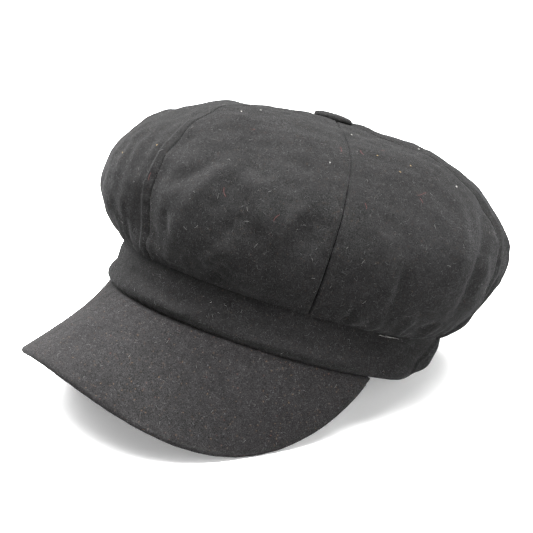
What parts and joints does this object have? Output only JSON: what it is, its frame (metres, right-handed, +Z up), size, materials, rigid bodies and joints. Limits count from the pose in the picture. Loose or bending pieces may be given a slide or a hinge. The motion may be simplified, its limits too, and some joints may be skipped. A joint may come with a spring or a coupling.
{
  "type": "newsboy cap",
  "caption": "Full-crowned cloth newsboy cap with a head band, arched stiffened visor, covered top button and lining.",
  "frame": {"origin": "centre of the footprint on the table, at table height (bounding box bottom centre)", "axes": "+Z up with the cap resting on a table, front and visor towards -Y, wearer's left towards +X; the cap axis leans 20.19 degrees towards +Y"},
  "size_m": [0.2334, 0.2778, 0.1637],
  "materials": {
    "wool_melton": "black heathered wool melton, napped",
    "visor_wool": "charcoal heathered wool felted over the board",
    "lining_satin": "black polyester satin lining",
    "ribbon": "black ribbed sweatband ribbon",
    "interlining": "non-woven stiffening",
    "elastic": "braided elastic",
    "board": "moulded polyethylene visor board",
    "button_metal": "pressed button shell",
    "button_plate": "button back plate",
    "wire": "drawn wire",
    "thread": "polyester thread",
    "stay_felt": "needled felt washer",
    "label_satin": "blank woven label"
  },
  "bodies": {
    "band": {"band_front": "wool_melton", "band_rear": "wool_melton", "band_interlining": "interlining", "rear_elastic": "elastic", "sweatband": "ribbon"},
    "crown": {"crown_panel_1": "wool_melton", "crown_panel_2": "wool_melton", "crown_panel_3": "wool_melton", "crown_panel_4": "wool_melton", "crown_panel_5": "wool_melton", "crown_panel_6": "wool_melton", "lining_panel_1": "lining_satin", "lining_panel_2": "lining_satin", "lining_panel_3": "lining_satin", "lining_panel_4": "lining_satin", "lining_panel_5": "lining_satin", "lining_panel_6": "lining_satin", "button_tie_thread": "thread", "crown_stay": "stay_felt", "lining_label": "label_satin"},
    "button": {"button_cover": "wool_melton", "button_shell": "button_metal", "button_back": "button_plate", "button_wire_loop": "wire"},
    "visor": {"visor_top_cover": "visor_wool", "visor_board": "board", "visor_under_cover": "visor_wool"},
    "size_tab": {"size_label": "label_satin"}
  },
  "joints": [
    {"name": "crown_press", "type": "slide", "parent": "band", "child": "crown", "axis": [0, 0.3451, 0.9386], "range_m": [-0.015, 0], "stiffness_N_per_m": 90, "springref_m": 0.006},
    {"name": "button_turn", "type": "hinge", "parent": "crown", "child": "button", "pos_m": [0, 0.04826, 0.1451], "axis": [0, 0.3451, 0.9386], "range_deg": [-35, 35], "stiffness_Nm_per_rad": 0.003},
    {"name": "visor_flex", "type": "hinge", "parent": "band", "child": "visor", "pos_m": [0, -0.08139, 0.06438], "axis": [1, 0, 0], "range_deg": [-18, 2], "stiffness_Nm_per_rad": 0.3},
    {"name": "size_label_fold", "type": "hinge", "parent": "band", "child": "size_tab", "pos_m": [0, 0.09835, 0.02716], "axis": [1, 0, 0], "range_deg": [-60, 0]}
  ]
}
